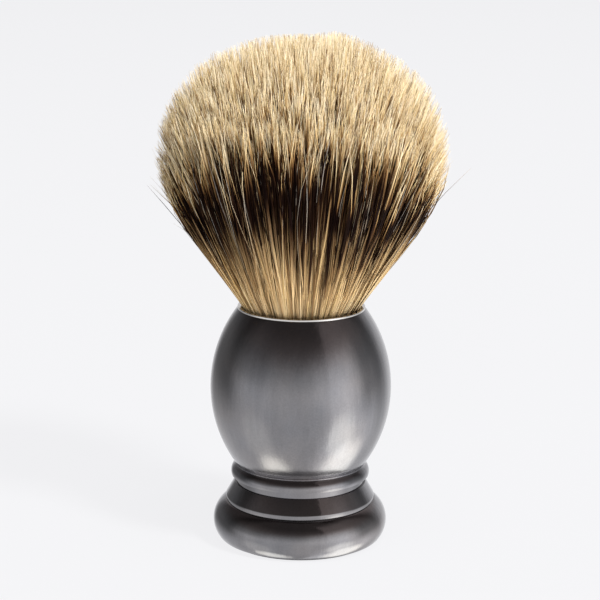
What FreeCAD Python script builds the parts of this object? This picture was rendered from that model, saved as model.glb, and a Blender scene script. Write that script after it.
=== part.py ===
import FreeCAD, Part
import math
import os

# A shaving brush: a bound badger-hair knot in a thin cup, set in a stack of turned metal pieces
# that one bolt clamps together. Millimetres. Z is the brush's axis, upwards, and the origin is
# the centre of the face that it stands on. Every piece is turned about Z, apart from the fan of
# hair over the mouth, which is combed out wider along X than along Y.

# ---------------------------------------------------------------------------------------------
# Outside form of the handle, from the shelf upwards
# ---------------------------------------------------------------------------------------------
pad_proud = 0.6              # the pad holds the foot this far off the shelf
foot_height = 7.9            # from the foot's underside to its top face
foot_rim_radius = 18.4       # widest point of the foot
foot_rim_height = 3.6        # of that point over the foot's underside
skirt_height = 3.9
skirt_low_radius = 15.7      # the skirt's lower end, where the foot's round begins
skirt_band = 0.8             # upright band under the skirt's cone
skirt_round = 0.5            # rounding where the cone turns into the band
skirt_top_radius = 13.9
neck_radius = 13.6
neck_height = 1.5            # the groove between skirt and bead
bead_height = 2.4
bead_radius = 14.65          # widest point of the bead
bead_belly_height = 0.75     # of that point over the bead's lower edge
bead_round = 2.1             # section radius of the bead
edge_break = 0.12            # small rounding on the bead's upper edge
bulb_height = 33.5
bulb_radius = 18.96          # widest point of the grip
bulb_belly_height = 16.6     # of that point over the bulb's lower end
mouth_radius = 13.3          # the grip's upper edge

# ---------------------------------------------------------------------------------------------
# Knot: hair, its binding, its plug and the cup that holds them
# ---------------------------------------------------------------------------------------------
knot_radius = 12.0           # the plug's outside: half the size that a knot is sold by
plug_wall = 0.8              # resin round the roots
plug_floor = 1.6             # resin under the roots
plug_height = 5.2
thread_diameter = 0.7        # waxed binding thread
thread_squeeze = 0.06        # how far each turn is pressed into the next
thread_turns = 4
cement_side = 0.2            # cement between plug and cup
cement_bed = 0.25            # cement under the plug
ferrule_wall = 0.4
ferrule_depth = 12.4         # from the mouth to the underside of the cup
ferrule_hem = 0.4            # height of the lip over the mouth
hem_round = 0.12             # rounding of the lip's outer edge
hair_clearance = 0.1         # hair to the cup's wall, at the mouth

hair_loft = 56.4             # from the mouth to the crown of the hair
fan_half_width = 29.6        # from the axis to the fan's widest point, along X
fan_half_depth = 20.5        # the same along Y
fan_height = 31.4            # of that point over the mouth
heel_round = 22.0            # rounding of the fan under its widest point

# ---------------------------------------------------------------------------------------------
# Clamp: one M6 bolt from the knot's socket down to a nut in the foot
# ---------------------------------------------------------------------------------------------
bolt_radius = 3.0
head_radius = 5.0
head_height = 3.9
hex_key = 4.0                # across the flats of the socket in the head
hex_key_depth = 2.2
head_room = 0.4              # over the bolt's head
bolt_end = 0.6               # thread that shows under the nut
hole_clearance = 0.25        # round the bolt
thread_clearance = 0.02      # bolt to nut, which have plain faces here
washer_radius = 6.0
washer_hole_radius = 3.2
washer_thickness = 1.6
nut_flats = 10.0
nut_height = 3.2
nut_chamfer = 0.5

# ---------------------------------------------------------------------------------------------
# Inside of the handle
# ---------------------------------------------------------------------------------------------
web_thickness = 3.5          # the bulb's wall under the bolt's head
weight_radius = 10.5
weight_clearance = 0.1       # round the weight
weight_headroom = 0.3        # over the weight
spigot_radius = 9.0          # the spigots that centre foot, skirt and bead on each other
spigot_height = 1.6
spigot_clearance = 0.05      # round each spigot
spigot_gap = 0.1             # over each spigot
seal_section = 1.2           # thickness of a seal, squeezed in its groove
seal_groove_slack = 0.2      # on each side of a seal in its groove
bulb_seal_radius = 12.0      # middle of the seal under the bulb
foot_seal_radius = 12.2      # middle of the seal under the skirt
foot_web = 2.1               # metal over the nut's washer, with the spigot
nut_pocket_radius = 8.2
plate_radius = 13.5
plate_thickness = 1.0
plate_clearance = 0.05
pad_radius = 16.2
pad_thickness = 1.0
pad_clearance = 0.05

# ---------------------------------------------------------------------------------------------
# Levels and radii that follow from the sizes above
# ---------------------------------------------------------------------------------------------
foot_bottom = pad_proud
foot_top = foot_bottom + foot_height
skirt_top = foot_top + skirt_height
bead_bottom = skirt_top + neck_height
bead_top = bead_bottom + bead_height
mouth_level = bead_top + bulb_height
lip_top = mouth_level + ferrule_hem

bolt_hole_radius = bolt_radius + hole_clearance
ferrule_inner_radius = knot_radius + cement_side
ferrule_outer_radius = ferrule_inner_radius + ferrule_wall
socket_radius = ferrule_outer_radius + spigot_clearance
root_radius = knot_radius - plug_wall
hair_mouth_radius = ferrule_inner_radius - hair_clearance

ferrule_bottom = mouth_level - ferrule_depth
cement_bottom = ferrule_bottom + ferrule_wall
plug_bottom = cement_bottom + cement_bed
plug_top = plug_bottom + plug_height
root_bottom = plug_bottom + plug_floor
thread_pitch = thread_diameter - thread_squeeze
binding_height = thread_diameter + (thread_turns - 1) * thread_pitch
binding_top = plug_top + binding_height

head_top = ferrule_bottom - head_room
head_bottom = head_top - head_height
socket_floor = head_bottom - washer_thickness
cavity_top = socket_floor - web_thickness
cavity_radius = weight_radius + weight_clearance
weight_bottom = bead_top + spigot_height
weight_top = cavity_top - weight_headroom

pocket_top = foot_top + spigot_height - foot_web
nut_top = pocket_top - washer_thickness
nut_bottom = nut_top - nut_height
plate_bottom = pad_thickness
plate_top = plate_bottom + plate_thickness

AXIS = FreeCAD.Vector(0, 0, 1)
ORIGIN = FreeCAD.Vector(0, 0, 0)


# ---------------------------------------------------------------------------------------------
# Helpers
# ---------------------------------------------------------------------------------------------
def at(corner):
    """A point of an outline, from its (radius, height)."""
    radius, height = corner
    return FreeCAD.Vector(radius, 0, height)


def swept(edges):
    """The solid that a closed outline of edges sweeps round the axis."""
    return Part.Face(Part.Wire(edges)).revolve(ORIGIN, AXIS, 360)


def outline(start, *steps):
    """Edges from one (radius, height) corner to the next.

    A step is the next corner, or an arc's (middle, end) pair of corners.
    """
    edges = []
    here = start
    for step in steps:
        if isinstance(step[0], tuple):
            middle, end = step
            edges.append(Part.Arc(at(here), at(middle), at(end)).toShape())
        else:
            end = step
            edges.append(Part.LineSegment(at(here), at(end)).toShape())
        here = end
    return edges


def turned(start, *steps):
    """The solid of revolution of a closed outline, given by its corners."""
    return swept(outline(start, *steps, start))


def disc(outer, inner, low, high):
    """A washer: a ring with level faces."""
    return turned((inner, low), (outer, low), (outer, high), (inner, high))


def ring(middle, section, level):
    """A round-section ring whose middle circle lies at a level."""
    return Part.makeTorus(middle, section / 2, FreeCAD.Vector(0, 0, level), AXIS)


def hexagon(flats, low, high):
    """A hexagonal prism on the axis."""
    corner = flats / math.sqrt(3)
    turns = [math.radians(60 * side) for side in range(7)]
    outline = [FreeCAD.Vector(corner * math.cos(a), corner * math.sin(a), low) for a in turns]
    return Part.Face(Part.makePolygon(outline)).extrude(FreeCAD.Vector(0, 0, high - low))


class Belly:
    """A round profile with its widest point at one level, through an edge at another."""

    def __init__(self, widest, level, edge_radius, edge_level):
        rise = edge_level - level
        drop = widest - edge_radius
        self.level = level
        self.round = (rise * rise + drop * drop) / (2 * drop)
        self.centre = widest - self.round

    def radius(self, level):
        rise = level - self.level
        return self.centre + math.sqrt(self.round * self.round - rise * rise)

    def corner(self, level):
        return (self.radius(level), level)


# ---------------------------------------------------------------------------------------------
# Foot: pad, plate, foot, skirt
# ---------------------------------------------------------------------------------------------
def base_pad():
    return disc(pad_radius, 0, 0, pad_thickness)


def base_plate():
    return disc(plate_radius, 0, plate_bottom, plate_top)


def foot_ring():
    rim_level = foot_bottom + foot_rim_height
    rim = Belly(foot_rim_radius, rim_level, skirt_low_radius, foot_top)
    low = rim.corner(foot_bottom)
    spigot_top = foot_top + spigot_height
    body = turned(
        (bolt_hole_radius, pocket_top), (nut_pocket_radius, pocket_top),
        (nut_pocket_radius, plate_top), (plate_radius + plate_clearance, plate_top),
        (plate_radius + plate_clearance, plate_bottom), (pad_radius + pad_clearance, plate_bottom),
        (pad_radius + pad_clearance, foot_bottom), low,
        ((foot_rim_radius, rim_level), rim.corner(foot_top)),
        (spigot_radius, foot_top), (spigot_radius, spigot_top), (bolt_hole_radius, spigot_top))
    return body.cut(seal_groove(foot_seal_radius, foot_top))


def foot_skirt():
    band_top = foot_top + skirt_band
    slope = math.atan2(skirt_low_radius - skirt_top_radius, skirt_top - band_top)
    reach = skirt_round * math.tan(slope / 2)
    middle = (skirt_low_radius - skirt_round * (1 - math.cos(slope / 2)),
              band_top - reach + skirt_round * math.sin(slope / 2))
    end = (skirt_low_radius - reach * math.sin(slope), band_top + reach * math.cos(slope))
    spigot_top = skirt_top + spigot_height
    body = turned(
        (skirt_low_radius, foot_top), (skirt_low_radius, band_top - reach), (middle, end),
        (skirt_top_radius, skirt_top), (spigot_radius, skirt_top),
        (spigot_radius, spigot_top), (bolt_hole_radius, spigot_top), (bolt_hole_radius, foot_top))
    return body.cut(spigot_socket(foot_top))


def foot_seal():
    return ring(foot_seal_radius, seal_section, foot_top - seal_section / 2)


# ---------------------------------------------------------------------------------------------
# Waist and grip: bead, seal, bulb, weight
# ---------------------------------------------------------------------------------------------
def seal_groove(middle, face):
    """What a seal's groove takes out of the face below it."""
    half = seal_section / 2 + seal_groove_slack
    return disc(middle + half, middle - half, face - seal_section, face)


def spigot_socket(face):
    """What the spigot of the piece below takes out of a piece's underside."""
    return disc(spigot_radius + spigot_clearance, 0, face, face + spigot_height + spigot_gap)


def waist_bead():
    belly_level = bead_bottom + bead_belly_height
    centre = bead_radius - bead_round

    def section(level):
        rise = level - belly_level
        return centre + math.sqrt(bead_round * bead_round - rise * rise)

    break_level = bead_top - edge_break
    upper = (section(break_level), break_level)
    inner = upper[0] - edge_break
    edge = (upper[0] - edge_break * (1 - math.sqrt(0.5)), bead_top - edge_break * (1 - math.sqrt(0.5)))
    collar_radius = cavity_radius - spigot_clearance
    collar_top = bead_top + spigot_height
    body = turned(
        (neck_radius, skirt_top), (neck_radius, bead_bottom), (section(bead_bottom), bead_bottom),
        ((bead_radius, belly_level), upper), (edge, (inner, bead_top)),
        (collar_radius, bead_top), (collar_radius, collar_top),
        (bolt_hole_radius, collar_top), (bolt_hole_radius, skirt_top))
    return body.cut([spigot_socket(skirt_top), seal_groove(bulb_seal_radius, bead_top)])


def bulb_seal():
    return ring(bulb_seal_radius, seal_section, bead_top - seal_section / 2)


def grip_bulb():
    belly_level = bead_top + bulb_belly_height
    belly = Belly(bulb_radius, belly_level, mouth_radius, mouth_level)
    return turned(
        (cavity_radius, bead_top), belly.corner(bead_top),
        ((bulb_radius, belly_level), (mouth_radius, mouth_level)),
        (socket_radius, mouth_level), (socket_radius, socket_floor),
        (bolt_hole_radius, socket_floor), (bolt_hole_radius, cavity_top),
        (cavity_radius, cavity_top))


def balance_weight():
    return disc(weight_radius, bolt_hole_radius, weight_bottom, weight_top)


# ---------------------------------------------------------------------------------------------
# Clamp: bolt, washers, nut
# ---------------------------------------------------------------------------------------------
def tie_bolt():
    head = disc(head_radius, 0, head_bottom, head_top)
    shank = disc(bolt_radius, 0, nut_bottom - bolt_end, head_bottom)
    return head.fuse(shank).removeSplitter().cut(hexagon(hex_key, head_top - hex_key_depth, head_top))


def washer(low):
    return disc(washer_radius, washer_hole_radius, low, low + washer_thickness)


def clamp_nut():
    corner = nut_flats / math.sqrt(3)
    chamfers = turned(
        (bolt_radius + thread_clearance, nut_bottom), (corner - nut_chamfer, nut_bottom),
        (corner, nut_bottom + nut_chamfer / 2), (corner, nut_top - nut_chamfer / 2),
        (corner - nut_chamfer, nut_top), (bolt_radius + thread_clearance, nut_top))
    return hexagon(nut_flats, nut_bottom, nut_top).common(chamfers)


# ---------------------------------------------------------------------------------------------
# Knot: ferrule, cement, plug, binding, hair
# ---------------------------------------------------------------------------------------------
def knot_ferrule():
    inset = hem_round * (1 - math.sqrt(0.5))
    edge = (mouth_radius - inset, lip_top - inset)
    return turned(
        (0, ferrule_bottom), (ferrule_outer_radius, ferrule_bottom),
        (ferrule_outer_radius, mouth_level), (mouth_radius, mouth_level),
        (mouth_radius, lip_top - hem_round), (edge, (mouth_radius - hem_round, lip_top)),
        (ferrule_inner_radius, lip_top), (ferrule_inner_radius, cement_bottom),
        (0, cement_bottom))


def knot_cement():
    return turned(
        (0, cement_bottom), (ferrule_inner_radius, cement_bottom), (ferrule_inner_radius, plug_top),
        (knot_radius, plug_top), (knot_radius, plug_bottom), (0, plug_bottom))


def knot_plug():
    return turned(
        (0, plug_bottom), (knot_radius, plug_bottom), (knot_radius, plug_top),
        (root_radius, plug_top), (root_radius, root_bottom), (0, root_bottom))


def knot_binding():
    """Turns of thread pulled against each other, drawn as one ribbed ring."""
    section = thread_diameter / 2
    middle = root_radius + section
    waist = math.sqrt(section * section - thread_pitch * thread_pitch / 4)
    steps = [(middle, plug_top)]
    for turn in range(thread_turns):
        level = plug_top + section + turn * thread_pitch
        last = turn == thread_turns - 1
        end = (middle, level + section) if last else (middle + waist, level + thread_pitch / 2)
        steps.append(((middle + section, level), end))
    return turned((root_radius, plug_top), *steps, (root_radius, binding_top))


def fan_heel():
    """Where the fan's side, straight from the mouth, meets the rounding under the widest point."""
    centre = (fan_half_width - heel_round, mouth_level + fan_height)
    across, down = hair_mouth_radius - centre[0], lip_top - centre[1]
    angle = math.atan2(down, across) + math.acos(heel_round / math.hypot(across, down))

    def on_heel(turn):
        return (centre[0] + heel_round * math.cos(turn), centre[1] + heel_round * math.sin(turn))

    return on_heel(angle), on_heel(angle / 2)


def fan_dome():
    """The crown's quarter ellipse, from the widest point up to the axis."""
    half = fan_half_width * math.sqrt(0.5)
    circle = Part.Arc(at((fan_half_width, 0)), at((half, half)), at((0, fan_half_width))).toShape()
    stretch = FreeCAD.Matrix()
    stretch.scale(1, 1, (hair_loft - fan_height) / fan_half_width)
    stretch.move(FreeCAD.Vector(0, 0, mouth_level + fan_height))
    return circle.transformGeometry(stretch).Edges


def fan_head(heel, heel_middle):
    """The fan over its straight sides: turned, then pressed flatter along Y."""
    widest = (fan_half_width, mouth_level + fan_height)
    crown = (0, mouth_level + hair_loft)
    head = swept(outline((0, heel[1]), heel, (heel_middle, widest)) + fan_dome()
                 + outline(crown, (0, heel[1])))
    flatten = FreeCAD.Matrix()
    flatten.scale(1, fan_half_depth / fan_half_width, 1)
    return head.transformGeometry(flatten)


def badger_hair():
    """The fan of hair: its true outside from the roots to the crown, as one solid."""
    roots = turned(
        (0, root_bottom), (root_radius, root_bottom), (root_radius, binding_top),
        (hair_mouth_radius, mouth_level), (hair_mouth_radius, lip_top), (0, lip_top))
    heel, heel_middle = fan_heel()
    head = fan_head(heel, heel_middle)
    foot = min(head.Faces, key=lambda face: face.CenterOfMass.z).OuterWire
    mouth = Part.Wire(Part.Circle(FreeCAD.Vector(0, 0, lip_top), AXIS, hair_mouth_radius).toShape())
    side = Part.makeLoft([mouth, foot], True, True)
    return roots.fuse([side, head])


# ---------------------------------------------------------------------------------------------
# One file for each piece
# ---------------------------------------------------------------------------------------------
pieces = {
    "base_pad": base_pad(),
    "base_plate": base_plate(),
    "foot_ring": foot_ring(),
    "foot_seal": foot_seal(),
    "foot_skirt": foot_skirt(),
    "waist_bead": waist_bead(),
    "bulb_seal": bulb_seal(),
    "grip_bulb": grip_bulb(),
    "balance_weight": balance_weight(),
    "tie_bolt": tie_bolt(),
    "head_washer": washer(socket_floor),
    "nut_washer": washer(nut_top),
    "clamp_nut": clamp_nut(),
    "knot_ferrule": knot_ferrule(),
    "knot_cement": knot_cement(),
    "knot_plug": knot_plug(),
    "knot_binding": knot_binding(),
    "badger_hair": badger_hair(),
}

os.makedirs("parts", exist_ok=True)
for name, shape in pieces.items():
    shape.exportStep(f"parts/{name}.step")
    box = shape.optimalBoundingBox()
    print(f"{name:15s} {shape.ShapeType:8s} valid {shape.isValid()} solids {len(shape.Solids)} "
          f"volume {shape.Volume:9.1f}  r {box.XMax:6.2f}  z {box.ZMin:6.2f} to {box.ZMax:6.2f}")
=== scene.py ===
import math

import bpy
from mathutils import Matrix, Vector


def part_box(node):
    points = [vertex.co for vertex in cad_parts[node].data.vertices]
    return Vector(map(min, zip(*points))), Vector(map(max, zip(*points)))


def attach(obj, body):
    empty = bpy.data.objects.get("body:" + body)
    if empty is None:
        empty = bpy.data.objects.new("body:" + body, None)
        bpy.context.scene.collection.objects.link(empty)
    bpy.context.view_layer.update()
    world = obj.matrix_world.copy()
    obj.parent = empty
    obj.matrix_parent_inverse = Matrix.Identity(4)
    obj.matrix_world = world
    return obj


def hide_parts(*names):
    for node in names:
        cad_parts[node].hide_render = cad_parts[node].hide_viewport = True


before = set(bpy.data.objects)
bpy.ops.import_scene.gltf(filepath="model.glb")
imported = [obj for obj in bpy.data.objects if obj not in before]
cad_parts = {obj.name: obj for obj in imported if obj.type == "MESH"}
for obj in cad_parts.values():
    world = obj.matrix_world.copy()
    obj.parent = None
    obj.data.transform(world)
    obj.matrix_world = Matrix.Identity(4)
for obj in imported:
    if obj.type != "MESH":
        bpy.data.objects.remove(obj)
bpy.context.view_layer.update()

scene = bpy.context.scene
scene.view_settings.view_transform = "Standard"
MM = 0.001

# ---------------------------------------------------------------------------------------------
# Sizes of the turned pieces that their boxes don't give, in millimetres
# ---------------------------------------------------------------------------------------------
TURNS = 256                  # facets round each turned piece
ARC_STEP = 0.45              # longest step along a turned profile's arcs
FINE_STEP = 0.03             # the same along the small roundings of its corners
EDGE = 0.15                  # rounding of the turned edges
SHARP = 32                   # degrees past which an edge is shaded sharp
ON_AXIS = 1e-6               # a smaller radius than this is the axis

# Spigots, seals and the bolt's hole, which foot, skirt, bead and bulb share
SPIGOT_RADIUS = 9.0
SPIGOT_HEIGHT = 1.6
SPIGOT_GAP = 0.1
SPIGOT_CLEARANCE = 0.05
BOLT_HOLE = 3.25
SEAL_HALF_GROOVE = 0.8
SEAL_DEPTH = 1.2
FOOT_SEAL_MIDDLE = 12.2
BULB_SEAL_MIDDLE = 12.0

# Foot and pad
FOOT_RIM_HEIGHT = 3.3        # of the foot's widest point, over its underside
FOOT_WEB = 2.1               # metal from the nut's pocket up to the spigot's top
NUT_POCKET = 8.2
PLATE_RADIUS = 13.55
PAD_SEAT_RADIUS = 16.25
PAD_LOWER_ROUND = 0.25
PAD_UPPER_ROUND = 0.08

# Skirt
SKIRT_BAND = 0.8             # height of the upright band under the cone
SKIRT_ROUND = 0.5            # rounding between band and cone
SKIRT_FOOT_ROUND = 0.06      # rounding of the band's lower edge
SKIRT_TOP_RADIUS = 13.9

# Bead and its neck
NECK_RADIUS = 13.6
NECK_HEIGHT = 1.5
BEAD_BELLY_HEIGHT = 0.55     # of the bead's widest point, over its lower edge
BEAD_ROUND = 2.1             # radius of the bead's section
COLLAR_RADIUS = 10.55

# Bulb
BULB_BELLY_HEIGHT = 16.6     # of the bulb's widest point, over its lower end
BULB_RIM = 0.35              # the thin rim on which the bulb meets the bead
MOUTH_RADIUS = 13.3
CAVITY_RADIUS = 10.6
CAVITY_TOP = 28.0
SOCKET_RADIUS = 12.65
SOCKET_FLOOR = 31.5

# Cup
CUP_INNER_RADIUS = 12.2
CUP_WALL = 0.4
CUP_HEEL_ROUND = 0.3
LIP_UNDER_ROUND = 0.03
LIP_OUTER_ROUND = 0.13
LIP_INNER_ROUND = 0.12


# ---------------------------------------------------------------------------------------------
# Node trees written as Python expressions
# ---------------------------------------------------------------------------------------------
class Value:
    """One output of a node. Sums and products of values add the nodes that work them out."""

    def __init__(self, tree, socket):
        self.tree, self.socket = tree, socket

    def is_vector(self):
        return self.socket.type in ("VECTOR", "RGBA")

    def maths(self, operation, *given):
        """Adds the Math or Vector Math node that does this operation on values and numbers."""
        vector = any(isinstance(v, Value) and v.is_vector() for v in given)
        if not vector:
            return self.tree.node("ShaderNodeMath", {"operation": operation},
                                  dict(enumerate(given)))
        if operation == "MULTIPLY" and any(not self.wide(v) for v in given):
            wide, factor = sorted(given, key=self.wide, reverse=True)
            return self.tree.node("ShaderNodeVectorMath", {"operation": "SCALE"},
                                  {0: wide, "Scale": factor})
        return self.tree.node("ShaderNodeVectorMath", {"operation": operation},
                              dict(enumerate(given)))

    @staticmethod
    def wide(value):
        """Whether this is a vector or a colour, not a single number."""
        return value.is_vector() if isinstance(value, Value) else isinstance(value, tuple)

    def __add__(self, other):
        return self.maths("ADD", self, other)

    def __radd__(self, other):
        return self.maths("ADD", other, self)

    def __sub__(self, other):
        return self.maths("SUBTRACT", self, other)

    def __rsub__(self, other):
        return self.maths("SUBTRACT", other, self)

    def __mul__(self, other):
        return self.maths("MULTIPLY", self, other)

    def __rmul__(self, other):
        return self.maths("MULTIPLY", other, self)

    def __truediv__(self, other):
        return self.maths("DIVIDE", self, other)

    def __rtruediv__(self, other):
        return self.maths("DIVIDE", other, self)

    def __pow__(self, other):
        return self.maths("POWER", self, other)

    def __neg__(self):
        return self * -1.0

    def of(self, operation, *others):
        """Another operation of the Math nodes, on this value and the others."""
        return self.maths(operation, self, *others)

    def also(self, output):
        """Another output of the same node."""
        return Value(self.tree, self.tree.socket(self.socket.node.outputs, output))


class Tree:
    """A node tree, and the one method that adds a node to it."""

    def __init__(self, node_tree):
        self.made = node_tree
        node_tree.nodes.clear()

    @staticmethod
    def socket(sockets, key):
        if isinstance(key, int):
            return sockets[key]
        return next(s for s in sockets if s.name == key and s.enabled)

    def node(self, kind, settings=None, inputs=None, output=0):
        """Adds a node: its settings first, then values or links for its sockets."""
        made = self.made.nodes.new(kind)
        for name, value in (settings or {}).items():
            if name == "stops":
                self.set_stops(made.color_ramp.elements, value)
            else:
                setattr(made, name, value)
        for key, value in (inputs or {}).items():
            socket = self.socket(made.inputs, key)
            if isinstance(value, Value):
                self.made.links.new(value.socket, socket)
            else:
                socket.default_value = value
        outputs = [s for s in made.outputs if s.enabled]
        if not outputs:
            return None
        return Value(self, outputs[output] if isinstance(output, int)
                     else self.socket(made.outputs, output))

    @staticmethod
    def set_stops(elements, stops):
        while len(elements) < len(stops):
            elements.new(1.0)
        for element, (position, colour) in zip(elements, stops):
            element.position = position
            element.color = (*colour, 1.0)

    def ramp(self, value, stops):
        """A grey or colour that follows a value through stops of (position, colour)."""
        return self.node("ShaderNodeValToRGB", {"stops": stops}, {0: value})

    def remap(self, value, low, high, start=0.0, end=1.0, smooth=True):
        """start to end as value goes from low to high, and level outside that."""
        kind = "SMOOTHSTEP" if smooth else "LINEAR"
        return self.node("ShaderNodeMapRange", {"interpolation_type": kind},
                         {"Value": value, "From Min": low, "From Max": high,
                          "To Min": start, "To Max": end})

    def blend(self, factor, first, second):
        """first where factor is 0, second where it is 1, for colours."""
        return self.node("ShaderNodeMix", {"data_type": "RGBA"},
                         {"Factor": factor, "A": first, "B": second}, "Result")

    def noise(self, place, scale, detail, roughness=0.5, dimensions="3D"):
        return self.node("ShaderNodeTexNoise", {"noise_dimensions": dimensions},
                         {"W" if dimensions == "1D" else "Vector": place, "Scale": scale,
                          "Detail": detail, "Roughness": roughness})

    def bump(self, strength, distance, height, **more):
        """A normal raised by height over a distance, over another one given as Normal."""
        return self.node("ShaderNodeBump", None,
                         {"Strength": strength, "Distance": distance, "Height": height, **more})

    def vector(self, x, y, z):
        return self.node("ShaderNodeCombineXYZ", None, {0: x, 1: y, 2: z})

    def split(self, vector):
        x = self.node("ShaderNodeSeparateXYZ", None, {0: vector})
        return x, x.also("Y"), x.also("Z")


def material(name):
    made = bpy.data.materials.new(name)
    made.use_nodes = True
    return made, Tree(made.node_tree)


def surfaced(made, tree, **sockets):
    """Ends a material in a Principled BSDF with the sockets given."""
    names = {key.replace("_", " "): value for key, value in sockets.items()}
    shader = tree.node("ShaderNodeBsdfPrincipled", None, names)
    tree.node("ShaderNodeOutputMaterial", None, {"Surface": shader})
    return made


# ---------------------------------------------------------------------------------------------
# Camera
# ---------------------------------------------------------------------------------------------
CAMERA_PLACE = (-0.0003, -0.375, 0.1378)
CAMERA_DOWN = 12.99          # degrees that it looks down
CAMERA_ROLL = 0.45           # degrees
CAMERA_LENS = 111.0
CAMERA_SENSOR = 36.0


def add_camera():
    data = bpy.data.cameras.new("camera")
    data.lens = CAMERA_LENS
    data.sensor_width = CAMERA_SENSOR
    camera = bpy.data.objects.new("camera", data)
    scene.collection.objects.link(camera)
    pitch = math.radians(90 - CAMERA_DOWN)
    roll = math.radians(CAMERA_ROLL)
    camera.matrix_world = (Matrix.Translation(CAMERA_PLACE)
                           @ Matrix.Rotation(pitch, 4, "X") @ Matrix.Rotation(roll, 4, "Z"))
    scene.camera = camera


# ---------------------------------------------------------------------------------------------
# Studio: world, floor, lamps
# ---------------------------------------------------------------------------------------------
BACKDROP = (0.896, 0.896, 0.913, 1.0)
ROOM_FILL = (0.26, 0.26, 0.27, 1.0)      # the light that the room gives to dull pieces

# What polished metal sees. Angles are in degrees: azimuth 0 is towards the camera and 90 to its
# right, elevation is over the horizon. The room is dark above and pale below: (elevation, grey).
ROOM = ((-90, 0.84), (-55, 0.95), (-6, 0.97), (4, 0.78), (13, 0.52), (21, 0.31), (29, 0.16),
        (38, 0.1), (50, 0.067), (90, 0.063))
# Soft round lamps low down: azimuth, elevation, where each starts to fade, where it ends, light.
LOW_LAMPS = ((95, -57, 6, 23, 2.1), (62, -38, 2, 22, 1.15), (-78, -69, 2, 18, 2.0),
             (-68, -42, 3, 24, 0.28))
LOW_LAMP_TINT = (1.01, 1.0, 0.9)

# The lamps that light the brush: azimuth, elevation, size in metres, power.
LAMPS = {"key": (50, 42, 0.5, 75.0), "front": (-8, 24, 0.8, 13.0), "fill": (-75, 30, 2.0, 2.5),
         "top": (20, 80, 1.1, 20.0)}
LAMP_DISTANCE = 2.5
LAMP_AIM = (0, 0, 0.06)

FLOOR_HALF = 3.0
FLOOR_PAPER = (0.82, 0.82, 0.83, 1.0)
FLOOR_GLOW = 0.93            # share of the floor that is plain backdrop; the rest takes shadow


def toward(azimuth, elevation):
    """The direction with this azimuth and elevation."""
    a, e = math.radians(azimuth), math.radians(elevation)
    return (math.sin(a) * math.cos(e), -math.cos(a) * math.cos(e), math.sin(e))


def build_world():
    world = bpy.data.worlds.new("studio")
    scene.world = world
    world.use_nodes = True
    tree = Tree(world.node_tree)
    direction = tree.node("ShaderNodeTexCoord", output="Generated")
    x, y, z = tree.split(direction)
    elevation = z.of("ARCSINE") * (180 / math.pi)
    azimuth = x.of("ARCTAN2", -y) * (180 / math.pi)

    def patch(azimuth_middle, elevation_middle, inner, outer):
        """1 inside a round patch of the surroundings, falling to 0 at its outer angle."""
        cosine = direction.of("DOT_PRODUCT", toward(azimuth_middle, elevation_middle))
        cosine = cosine.also("Value")
        return tree.remap(cosine, math.cos(math.radians(outer)), math.cos(math.radians(inner)))

    def panel(azimuth_fades, elevation_fades=()):
        """1 inside a panel of the surroundings. Each fade says where it is 0 and where 1."""
        fades = [tree.remap(azimuth, *fade) for fade in azimuth_fades]
        fades += [tree.remap(elevation, *fade) for fade in elevation_fades]
        return math.prod(fades[1:], start=fades[0])

    height = tree.remap(elevation, -90, 90, smooth=False)
    room = tree.ramp(height, [((degrees + 90) / 180, (grey,) * 3) for degrees, grey in ROOM])
    room = tree.split(room)[0]

    # Darker walls at both sides and a shade on the left; the far side is a little lighter.
    behind = tree.remap(azimuth.of("ABSOLUTE"), 95, 130) * tree.remap(elevation, -5, 10)
    walls = panel([(-72, -108), (-170, -145)]) + panel([(66, 96), (147, 118)])
    walls = walls * tree.remap(elevation, -36, -4)
    left_shade = panel([(-28, -66), (-130, -95)], [(-4, 8), (34, 20)])
    # On the right a dim, tall panel with a sharp left edge, a soft glow, and the lit floor.
    right_panel = panel([(35, 38), (125, 95)], [(-10, 5), (70, 50)])
    right_glow = panel([(-5, 58), (90, 55)], [(-30, 0), (38, 10)])
    right_floor = panel([(18, 60), (140, 100)], [(12, -30)])
    seen = ((room + behind * 0.2) * (1.0 - walls * 0.76) * (1.0 - left_shade * 0.26)
            + right_panel * 0.18 + right_glow * 0.62 + right_floor * 0.7)
    low_lamps = [patch(*where) * light for *where, light in LOW_LAMPS]
    low_lamps = sum(low_lamps[1:], start=low_lamps[0])
    red, green, blue = LOW_LAMP_TINT
    warmth = tree.remap(elevation, 10, 40)               # the upper room is a little warmer
    seen_colour = tree.vector(seen * (1.0 + warmth * 0.12) + low_lamps * red,
                              seen * (1.0 - warmth * 0.04) + low_lamps * green,
                              seen * (1.03 - warmth * 0.09) + low_lamps * blue)

    path = tree.node("ShaderNodeLightPath", output="Is Camera Ray")
    glossy = path.also("Is Glossy Ray")
    clear = path.of("MAXIMUM", path.also("Is Transmission Ray"))
    colour = tree.blend(clear, tree.blend(glossy, ROOM_FILL, seen_colour), BACKDROP)
    background = tree.node("ShaderNodeBackground", None, {"Color": colour, "Strength": 1.0})
    tree.node("ShaderNodeOutputWorld", None, {"Surface": background})


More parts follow.
